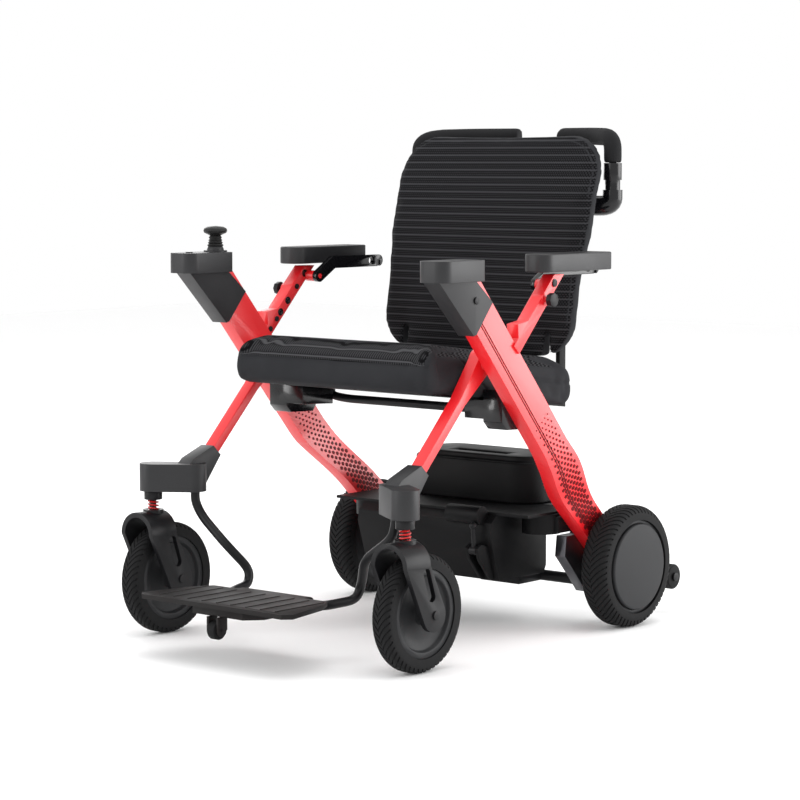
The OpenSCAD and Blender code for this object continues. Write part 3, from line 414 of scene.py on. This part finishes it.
roundedPairs = {
    "main_arm": ("broadArm", "redPaint", 0.0045, 4),
    "rear_post": ("rearPost", "redPaint", 0.0016, 2),
    "front_arm": ("frontArm", "redPaint", 0.0020, 3),
    "arm_head": ("armHead", "podGraphite", 0.0030, 3),
    "rear_pad": ("restPad", "podGraphite", 0.0035, 3),
    "caster_housing": ("casterHousing", "podGraphite", 0.0025, 3),
    "caster_collar": ("casterCollar", "satinBlack", 0.0010, 2),
    "caster_fork": ("casterFork", "satinBlack", 0.0022, 3),
    "caster_rim": ("casterRim", "discGraphite", 0.0010, 2),
    "drive_hub": ("driveHub", "discGraphite", 0.0010, 2),
    "hub_cover": ("hubCover", "discGraphite", 0.0012, 3),
    "handle_elbow": ("handleElbow", "glossBlack", 0.0012, 2),
    "armrest_bar": ("restBar", "glossBlack", 0.0015, 2),
    "release_knob": ("releaseKnob", "satinBlack", 0.0014, 2),
    "anti_tip_roller": ("tipRoller", "tyreRubber", 0.0015, 2),
    "caster_spring": ("casterSpring", "springRed", 0, 1),
}
roundedSingles = {
    "seat_pan": ("seatPan", "caseBlack", 0.0020, 2),
    "under_seat_bar": ("liftBar", "satinBlack", 0, 1),
    "pivot_brackets": ("pivotBrackets", "glossBlack", 0.0015, 2),
    "drive_case": ("driveCase", "caseBlack", 0.0028, 3),
    "axle_beam": ("axleBeam", "satinBlack", 0.0012, 2),
    "drive_axles": ("driveAxles", "boltSteel", 0.0006, 1),
    "anti_tip_arms": ("tipArms", "satinBlack", 0.0012, 2),
    "frame_bolts": ("frameBolts", "satinBlack", 0.0006, 2),
    "battery_pack": ("batteryPack", "caseBlack", 0.0035, 3),
    "clutch_lever": ("clutchLever", "satinBlack", 0.0006, 1),
    "footrest_tube": ("footTube", "satinBlack", 0, 1),
    "footplate": ("footPlate", "footBlack", 0.0012, 2),
    "footplate_tray": ("footTray", "footBlack", 0.0012, 2),
    "foot_roller": ("footRoller", "tyreRubber", 0.0012, 2),
    "backrest_frame": ("backTube", "satinBlack", 0, 1),
    "joystick_gimbal": ("stickGimbal", "boltSteel", 0.0003, 1),
    "joystick_stick": ("stickKnob", "bellowsRubber", 0.0008, 2),
    "joystick_boot": ("stickBoot", "bellowsRubber", 0.0005, 2),
    "power_button": ("powerButton", "satinBlack", 0.0006, 2),
}
hardPieces = {}
for stem, (pieceStem, material, width, segments) in roundedPairs.items():
    for side in sides:
        hardPieces[stem + "_" + side] = roundedCopy(stem + "_" + side, sideName(pieceStem, side), material,
                                                    width, segments)
for nodeName, (pieceName, material, width, segments) in roundedSingles.items():
    hardPieces[nodeName] = roundedCopy(nodeName, pieceName, material, width, segments)
print("hard pieces finished:", len(hardPieces))

# Tyres: a rounded carcass with slanted grooves in both shoulders

tyres = {
    "drive_tyre": {"piece": "driveTyre", "rubber": 0.023, "columns": 180, "cut": 0.0016, "lean": 3.4},
    "caster_tyre": {"piece": "casterTyre", "rubber": 0.022, "columns": 156, "cut": 0.0014, "lean": 3.0},
}
# Shares of a tyre's half width: the rounded shoulder, the grooved band's depth and its two ends
tread = {"shoulder": 0.62, "band": 0.5, "crown": 0.12, "wall": 0.97, "wallWidth": 0.0005}


def makeTyre(nodeName, pieceName, values):
    low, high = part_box(nodeName)
    middle = (low + high) / 2
    radius = (high.z - low.z) / 2
    half = (high.x - low.x) / 2
    columns = values["columns"]
    bpy.ops.mesh.primitive_cylinder_add(vertices=columns, radius=radius, depth=half * 2, location=middle,
                                        rotation=(0, math.pi / 2, 0))
    tyre = bpy.context.object
    tyre.name = pieceName
    applyPlace(tyre)
    editMesh(tyre, "FACE")
    # Open the middle, leaving the two side walls
    pickFaces(tyre, lambda centre, normal: abs(normal.x) > 0.9)
    bpy.ops.mesh.inset(thickness=values["rubber"], depth=0)
    bpy.ops.mesh.delete(type="FACE")
    bpy.ops.mesh.select_mode(type="EDGE")
    bpy.ops.mesh.select_all(action="DESELECT")
    leaveEdit()
    seatRadius = radius - values["rubber"]
    for edge in tyre.data.edges:
        ends = [tyre.data.vertices[i].co for i in edge.vertices]
        edge.select = all(abs(math.hypot(e.y - middle.y,
                                         e.z - middle.z) - seatRadius) < 0.0015 for e in ends) \
            and abs(ends[0].x - ends[1].x) < 0.0001
    bpy.ops.object.mode_set(mode="EDIT")
    bpy.ops.mesh.bridge_edge_loops()
    # Round the shoulders
    bpy.ops.mesh.select_all(action="DESELECT")
    leaveEdit()
    for edge in tyre.data.edges:
        ends = [tyre.data.vertices[i].co for i in edge.vertices]
        edge.select = all(abs(math.hypot(e.y - middle.y, e.z - middle.z) - radius) < 0.0008 for e in ends) \
            and abs(ends[0].x - ends[1].x) < 0.0001
    bpy.ops.object.mode_set(mode="EDIT")
    bpy.ops.mesh.bevel(offset=half * tread["shoulder"], offset_type="OFFSET", segments=6, profile=0.5,
                       affect="EDGES")
    bpy.ops.mesh.select_all(action="SELECT")
    bpy.ops.mesh.bisect(plane_co=middle, plane_no=(1, 0, 0))
    leaveEdit()
    # Lean each ring of the tread, more towards the walls
    pitch = 2 * math.pi / columns
    rings = {}
    for vertex in tyre.data.vertices:
        out = math.hypot(vertex.co.y - middle.y, vertex.co.z - middle.z)
        if out > radius - half * tread["shoulder"] * 0.98:
            rings.setdefault(round(abs(vertex.co.x - middle.x), 4), []).append(vertex.index)
    for offset, members in rings.items():
        turn = values["lean"] * pitch * offset / half * 2
        editMesh(tyre, "VERT")
        bpy.ops.mesh.select_all(action="DESELECT")
        leaveEdit()
        for i in members:
            tyre.data.vertices[i].select = True
        bpy.ops.object.mode_set(mode="EDIT")
        bpy.ops.transform.rotate(value=turn, orient_axis="X", center_override=middle)
        leaveEdit()
    # Every third slanted column sinks, between the crown and the wall
    editMesh(tyre, "FACE")

    def inGroove(centre, normal):
        out = math.hypot(centre.y - middle.y, centre.z - middle.z)
        offset = abs(centre.x - middle.x)
        if out < radius - half * tread["band"]:
            return False
        if offset < half * tread["crown"] or offset > half * tread["wall"]:
            return False
        lean = values["lean"] * pitch * offset / half * 2
        angle = math.atan2(centre.z - middle.z, centre.y - middle.y)
        column = math.floor((angle + leanWay * lean) / pitch + columnShift)
        return column % 3 == (0 if centre.x > middle.x else 1)

    leanWay, columnShift = leanDirection(tyre, middle, radius, half, pitch, values["lean"])
    pickFaces(tyre, inGroove)
    bpy.ops.mesh.inset(thickness=tread["wallWidth"], depth=-values["cut"], use_boundary=True)
    bpy.ops.mesh.select_all(action="SELECT")
    bpy.ops.mesh.remove_doubles(threshold=0.00002)
    bpy.ops.mesh.normals_make_consistent(inside=False)
    leaveEdit()
    smoothPiece(tyre, 40)
    mountPiece(tyre, "tyreRubber", nodeName)
    return tyre


def leanDirection(tyre, middle, radius, half, pitch, lean):
    # Finds which way the rings turned, from where the columns' centres ended up
    best = None
    for way in (1, -1):
        spots = []
        for face in tyre.data.polygons:
            out = math.hypot(face.center.y - middle.y, face.center.z - middle.z)
            offset = abs(face.center.x - middle.x)
            if out > radius - half * tread["band"] and half * tread["crown"] < offset < half * tread["wall"]:
                angle = math.atan2(face.center.z - middle.z, face.center.y - middle.y)
                spots.append(((angle + way * lean * pitch * offset / half * 2) / pitch) % 1)
        wheel = complex(sum(math.cos(2 * math.pi * s) for s in spots),
                        sum(math.sin(2 * math.pi * s) for s in spots))
        size = abs(wheel) / max(1, len(spots))
        if best is None or size > best[0]:
            centre = (math.atan2(wheel.imag, wheel.real) / (2 * math.pi)) % 1
            best = (size, way, 0.5 - centre)
    return best[1], best[2]


for stem, values in tyres.items():
    for side in sides:
        makeTyre(stem + "_" + side, sideName(values["piece"], side), values)
print("tyres built")

# Cushions

cushions = {
    "seat": {"voxel": 0.005, "bevel": 0.014, "shrink": 0.001, "pressure": 4, "cap": 0.010, "frames": 20,
             "drop": 0.010},
    "back": {"voxel": 0.005, "bevel": 0.006, "shrink": 0.001, "pressure": 4, "cap": 0.006, "frames": 20,
             "drop": 0},
}


def aboveMiddle(place):
    return place.z - seatShape["middleZ"] + seatShape["slope"] * (place.y - seatShape["middleY"])


def makeCushion(nodeName, pieceName, values, holdStill):
    piece = copyNode(nodeName, pieceName)
    if values["drop"]:
        # The foam reaches down round the pan's edge
        editMesh(piece, "VERT")
        bpy.ops.mesh.select_all(action="DESELECT")
        leaveEdit()
        for vertex in piece.data.vertices:
            vertex.select = aboveMiddle(vertex.co) < -0.001
        bpy.ops.object.mode_set(mode="EDIT")
        bpy.ops.transform.translate(value=(0, 0, -values["drop"]))
        leaveEdit()
    applyModifier(piece, "BEVEL", width=values["bevel"], segments=4, limit_method="ANGLE",
                  angle_limit=math.radians(50), use_clamp_overlap=True)
    applyModifier(piece, "REMESH", mode="VOXEL", voxel_size=values["voxel"])
    applyModifier(piece, "SMOOTH", factor=0.5, iterations=2)
    start = [vertex.co.copy() for vertex in piece.data.vertices]
    normals = [vertex.normal.copy() for vertex in piece.data.vertices]
    for vertex, normal in zip(piece.data.vertices, normals):
        vertex.co = vertex.co - normal * values["shrink"]
    pins = piece.vertex_groups.new(name="held")
    for vertex in piece.data.vertices:
        if holdStill(vertex.co):
            pins.add([vertex.index], 1.0, "REPLACE")
    activate(piece)
    cloth = piece.modifiers.new("cloth", "CLOTH")
    cloth.settings.use_pressure = True
    cloth.settings.uniform_pressure_force = values["pressure"]
    cloth.settings.effector_weights.gravity = 0
    cloth.settings.vertex_group_mass = "held"
    cloth.settings.quality = 4
    cloth.point_cache.frame_start = 1
    cloth.point_cache.frame_end = values["frames"]
    for step in range(1, values["frames"] + 1):
        bpy.context.scene.frame_set(step)
    bpy.ops.object.modifier_apply(modifier="cloth")
    bpy.context.scene.frame_set(1)
    for vertex, home in zip(piece.data.vertices, start):
        move = vertex.co - home
        if move.length > values["cap"]:
            vertex.co = home + move * (values["cap"] / move.length)
    applyModifier(piece, "SMOOTH", factor=0.5, iterations=3)
    return piece


def assignZones(piece, names, zoneOf):
    piece.data.materials.clear()
    for name in names:
        piece.data.materials.append(materials[name])
    for face in piece.data.polygons:
        face.material_index = zoneOf(face.center, face.normal)


def sinkSeams(piece, seams, width, depth):
    # Each seam is a signed distance from the stitching, or None away from it
    for vertex in piece.data.vertices:
        for seam in seams:
            away = seam(vertex.co, vertex.normal)
            if away is not None and abs(away) < width:
                vertex.co = vertex.co - vertex.normal * depth * (1 - (abs(away) / width) ** 2)


seatLow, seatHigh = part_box("seat_cushion")
seatShape = {"slope": math.tan(math.radians(7)), "middleZ": 0.418, "middleY": 0.018,
             "seamHeight": 0.004, "sideSeam": 0.0, "seamWidth": 0.0032, "seamDepth": 0.0022,
             "meshInset": 0.011, "frontReach": 0.045, "sideStart": 0.14, "cornerReach": 0.16,
             "cornerStart": 0.122, "cornerLean": 1.1, "heldBelow": -0.034}


def seatZone(centre, normal):
    # 0 woven panel over the top and the upper front, 1 smooth cloth
    inset = seatHigh.x - abs(centre.x)
    woven = aboveMiddle(centre) > seatShape["seamHeight"] and inset > seatShape["meshInset"]
    return 0 if woven and abs(normal.x) < 0.62 else 1


def frontSeam(place, normal):
    if place.y > seatLow.y + seatShape["frontReach"] or abs(normal.x) > 0.75:
        return None
    return aboveMiddle(place) - seatShape["seamHeight"]


def sideSeam(place, normal):
    if abs(normal.x) < 0.6 or place.y < seatLow.y + seatShape["sideStart"]:
        return None
    return aboveMiddle(place) - seatShape["sideSeam"]


def cornerSeam(place, normal):
    if abs(normal.x) < 0.45 or place.y > seatLow.y + seatShape["cornerReach"]:
        return None
    return place.y - (seatLow.y + seatShape["cornerStart"] - seatShape["cornerLean"] * aboveMiddle(place))


seat = makeCushion("seat_cushion", "seatCushion", cushions["seat"],
                   lambda place: aboveMiddle(place) < seatShape["heldBelow"])
applyModifier(seat, "SUBSURF", levels=1, render_levels=1)
sinkSeams(seat, [frontSeam, sideSeam, cornerSeam], seatShape["seamWidth"], seatShape["seamDepth"])
assignZones(seat, ["seatMesh", "sideCloth"], seatZone)
smoothPiece(seat, 60)
mountPiece(seat, None, "seat_cushion")

backLow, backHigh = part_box("backrest_pad")
backShape = {"corner": 0.072, "rim": 0.009, "seamWidth": 0.0030, "seamDepth": 0.0016,
             "taper": 0.009, "taperTop": 0.64, "taperRun": 0.08, "clothEdge": 0.004}


def backEdge(place):
    # Distance in from the outline, seen from the front
    lowered = min(1.0, max(0.0, (backShape["taperTop"] - place.z) / backShape["taperRun"]))
    halfWidth = backHigh.x - backShape["taper"] * lowered
    side = halfWidth - abs(place.x)
    end = min(backHigh.z - place.z, place.z - backLow.z)
    corner = backShape["corner"]
    if side < corner and end < corner:
        return corner - math.hypot(corner - side, corner - end)
    return min(side, end)


def backZone(centre, normal):
    # 0 woven panel on the front and back, 1 smooth cloth round the rim
    return 1 if abs(normal.y) < 0.55 or backEdge(centre) < backShape["clothEdge"] else 0


def rimSeam(place, normal):
    if normal.y > 0:
        return None
    return backEdge(place) - backShape["rim"]


back = makeCushion("backrest_pad", "backCushion", cushions["back"], lambda place: False)
applyModifier(back, "SUBSURF", levels=1, render_levels=1)
sinkSeams(back, [rimSeam], backShape["seamWidth"], backShape["seamDepth"])
assignZones(back, ["backMesh", "sideCloth"], backZone)
smoothPiece(back, 60)
mountPiece(back, None, "backrest_pad")
print("cushions filled")

# Foam grips

grip = {"voxel": 0.003, "smooth": 12}
for side in sides:
    piece = copyNode("handle_grip_" + side, sideName("foamGrip", side))
    applyModifier(piece, "REMESH", mode="VOXEL", voxel_size=grip["voxel"])
    applyModifier(piece, "SMOOTH", factor=0.5, iterations=grip["smooth"])
    smoothPiece(piece, 60)
    mountPiece(piece, "foamGrey", "handle_grip_" + side)
print("grips shaped")

# Small fittings: screws, the arms' cells and grooves as dark strips of painted shade, and the bellows


def turnedPiece(name, radius, depth, place, axis, sides=32, rim=0.0006, dish=None):
    # A short cylinder along X or Z with rounded rims and, if asked, a dished face
    turn = (0, math.pi / 2, 0) if axis == "X" else (0, 0, 0)
    bpy.ops.object.select_all(action="DESELECT")
    bpy.ops.mesh.primitive_cylinder_add(vertices=sides, radius=radius, depth=depth, location=place,
                                        rotation=turn)
    piece = bpy.context.object
    piece.name = name
    applyPlace(piece)
    if dish:
        editMesh(piece, "FACE")
        flat = (lambda centre, normal: abs(normal.x) > 0.9) if axis == "X" else (lambda centre,
                                                                                 normal: normal.z > 0.9)
        pickFaces(piece, flat)
        bpy.ops.mesh.inset(thickness=dish["edge"], depth=0, use_individual=True)
        bpy.ops.mesh.inset(thickness=dish["edge"] * 0.4, depth=-dish["deep"], use_individual=True)
        leaveEdit()
    applyModifier(piece, "BEVEL", width=rim, segments=3, limit_method="ANGLE", angle_limit=math.radians(40),
                  use_clamp_overlap=True)
    smoothPiece(piece)
    return piece


def joinPieces(pieces, name):
    bpy.ops.object.select_all(action="DESELECT")
    for piece in pieces:
        piece.select_set(True)
    bpy.context.view_layer.objects.active = pieces[0]
    if len(pieces) > 1:
        bpy.ops.object.join()
    pieces[0].name = name
    return pieces[0]


def fitPiece(piece, material, body):
    piece.data.materials.clear()
    piece.data.materials.append(materials[material])
    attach(piece, body)


def faceReach(piece, y, z, start, way):
    # Where a line along X meets the piece, from start towards way
    hit, spot, normal, _ = piece.ray_cast(Vector((start, y, z)), Vector((way, 0, 0)))
    return (spot, normal) if hit and normal.x * way < -0.5 else (None, None)


postScrews = {"radius": 0.0062, "edge": 0.0026, "deep": 0.0009, "thick": 0.0026,
              "left": [(0.0560, 0.5655)], "right": [(0.0560, 0.5655), (0.0140, 0.5215), (-0.0040, 0.5030)]}
for side, way in sides.items():
    post = hardPieces["rear_post_" + side]
    made = []
    for y, z in postScrews[side]:
        start = way * (0.4 if side == "left" else 0.2)
        spot, normal = faceReach(post, y, z, start, -way if side == "left" else way)
        if spot:
            made.append(turnedPiece("screw", postScrews["radius"], postScrews["thick"], spot, "X", 28,
                                    0.0005,
                                    {"edge": postScrews["edge"], "deep": postScrews["deep"]}))
    if made:
        fitPiece(joinPieces(made, sideName("postScrews", side)), "glossBlack", bodyOf["rear_post_" + side])
print("screws fitted")

# The cells and grooves on each broad arm, the cells larger towards the wheel. The hex layout and sizes
# follow the arm's perforations; their dark red is painted shade, laid flat on the face in place of the
# holes' own shade
armFace = {"top": (0.030, 0.3495), "bend": (0.073, 0.300), "tip": (0.243, 0.137), "pitch": 0.0092,
           "small": 0.0012, "large": 0.0049, "proud": 0.00025, "margin": 0.005,
           "halfTop": 0.029, "halfTip": 0.0275,
           "grooveTop": (-0.150, 0.5603), "grooves": (0.0150, 0.0190), "grooveWidth": 0.0012, "step": 0.005}


def cellRows():
    # Places (y, z), size and share down the arm, in staggered rows
    start, bend, tip = armFace["top"], armFace["bend"], armFace["tip"]
    legs = [(start, bend, armFace["halfTop"]), (bend, tip, armFace["halfTip"])]
    total = sum(math.dist(a, b) for a, b, half in legs)
    done = 0.0
    cells = []
    row = 0
    for first, last, half in legs:
        length = math.dist(first, last)
        along = ((last[0] - first[0]) / length, (last[1] - first[1]) / length)
        across = (along[1], -along[0])
        while row * armFace["pitch"] * 0.866 < done + length:
            reach = row * armFace["pitch"] * 0.866 - done
            share = (done + reach) / total
            shift = 0.5 if row % 2 else 0.0
            count = int((half - armFace["margin"]) / armFace["pitch"]) + 1
            for column in range(-count, count + 1):
                off = (column + shift) * armFace["pitch"]
                if abs(off) < half - armFace["margin"] - 0.002:
                    cells.append((first[0] + along[0] * reach + across[0] * off,
                                  first[1] + along[1] * reach + across[1] * off, share))
            row += 1
        done += length
    return cells


def grooveStrips():
    # Outlines of the two lines that follow the arm's front edge: dark strips of painted shade, laid proud
    # where the grooves' own shade would be
    places = [armFace["grooveTop"], armFace["bend"], armFace["tip"]]
    strips = []
    for inset in armFace["grooves"]:
        for first, last in zip(places, places[1:]):
            length = math.dist(first, last)
            along = ((last[0] - first[0]) / length, (last[1] - first[1]) / length)
            across = (along[1], -along[0])
            steps = int(length / armFace["step"])
            for step in range(steps):
                corners = []
                for reach, side in ((step, -0.5), (step + 1, -0.5), (step + 1, 0.5), (step, 0.5)):
                    off = armFace["halfTop"] - inset + side * armFace["grooveWidth"]
                    reach = reach * length / steps
                    corners.append((first[0] + along[0] * reach + across[0] * off,
                                    first[1] + along[1] * reach + across[1] * off))
                strips.append(corners)
    return strips


def layOnArm(arm, name, outlines, start, way, body):
    # Lays flat outlines, given as (y, z) corners, on the face that a line along X meets
    verts, faces = [], []
    for outline in outlines:
        ring = []
        for y, z in outline:
            spot, normal = faceReach(arm, y, z, start, way)
            if spot is None:
                break
            ring.append(spot + normal * armFace["proud"])
        if len(ring) == len(outline):
            base = len(verts)
            verts.extend(tuple(place) for place in ring)
            order = list(range(base, base + len(ring)))
            faces.append(order if way < 0 else order[::-1])
    mesh = bpy.data.meshes.new(name)
    mesh.from_pydata(verts, [], faces)
    piece = bpy.data.objects.new(name, mesh)
    bpy.context.scene.collection.objects.link(piece)
    editMesh(piece, "FACE")
    bpy.ops.mesh.select_all(action="SELECT")
    bpy.ops.mesh.normals_make_consistent(inside=False)
    leaveEdit()
    applyModifier(piece, "SOLIDIFY", thickness=0.0012, offset=0)
    # The laid pieces take the dark red of painted shade
    fitPiece(piece, "recessShadeRed", body)
    return len(faces)


cellOutlines = []
for y, z, share in cellRows():
    radius = armFace["small"] + (armFace["large"] - armFace["small"]) * share ** 0.8
    cellOutlines.append([(y + radius * math.cos(math.pi / 6 + k * math.pi / 3),
                          z + radius * math.sin(math.pi / 6 + k * math.pi / 3)) for k in range(6)])
for side, way in sides.items():
    arm, body = hardPieces["main_arm_" + side], bodyOf["main_arm_" + side]
    laid = layOnArm(arm, sideName("outerCellShade", side), cellOutlines, way * 0.4, -way, body)
    laid += layOnArm(arm, sideName("innerCellShade", side), cellOutlines, way * 0.19, way, body)
    laid += layOnArm(arm, sideName("armGrooveShade", side), grooveStrips(), way * 0.4, -way, body)
    print("laid on the", side, "arm:", laid)

# Bellows of the joystick: five soft ribs round the boot
bootLow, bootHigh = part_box("joystick_boot")
bellows = {"ribs": 5, "thick": 0.0016, "lower": 0.0122, "upper": 0.0088}
ribs = []
for step in range(bellows["ribs"]):
    share = step / (bellows["ribs"] - 1)
    middle = ((bootLow.x + bootHigh.x) / 2, (bootLow.y + bootHigh.y) / 2,
              bootLow.z + 0.0022 + share * (bootHigh.z - bootLow.z - 0.0044))
    radius = bellows["lower"] + (bellows["upper"] - bellows["lower"]) * share
    ribs.append(turnedPiece("rib", radius, bellows["thick"] * 2, middle, "Z", 40, bellows["thick"] * 0.8))
fitPiece(joinPieces(ribs, "stickBellows"), "bellowsRubber", bodyOf["joystick_boot"])
print("bellows ribbed")

# Floor

floor = {"size": 14}
bpy.ops.mesh.primitive_plane_add(size=floor["size"], location=(0, 0, -0.0005))
ground = bpy.context.object
ground.name = "studioFloor"
applyPlace(ground)
tree, shader = startMaterial("floorWhite", {"specular": 0.2})
shader.inputs["Roughness"].default_value = 0.7
shader.inputs["Base Color"].default_value = (0.97, 0.97, 0.97, 1)
ground.data.materials.append(materials["floorWhite"])

bpy.ops.object.select_all(action="DESELECT")
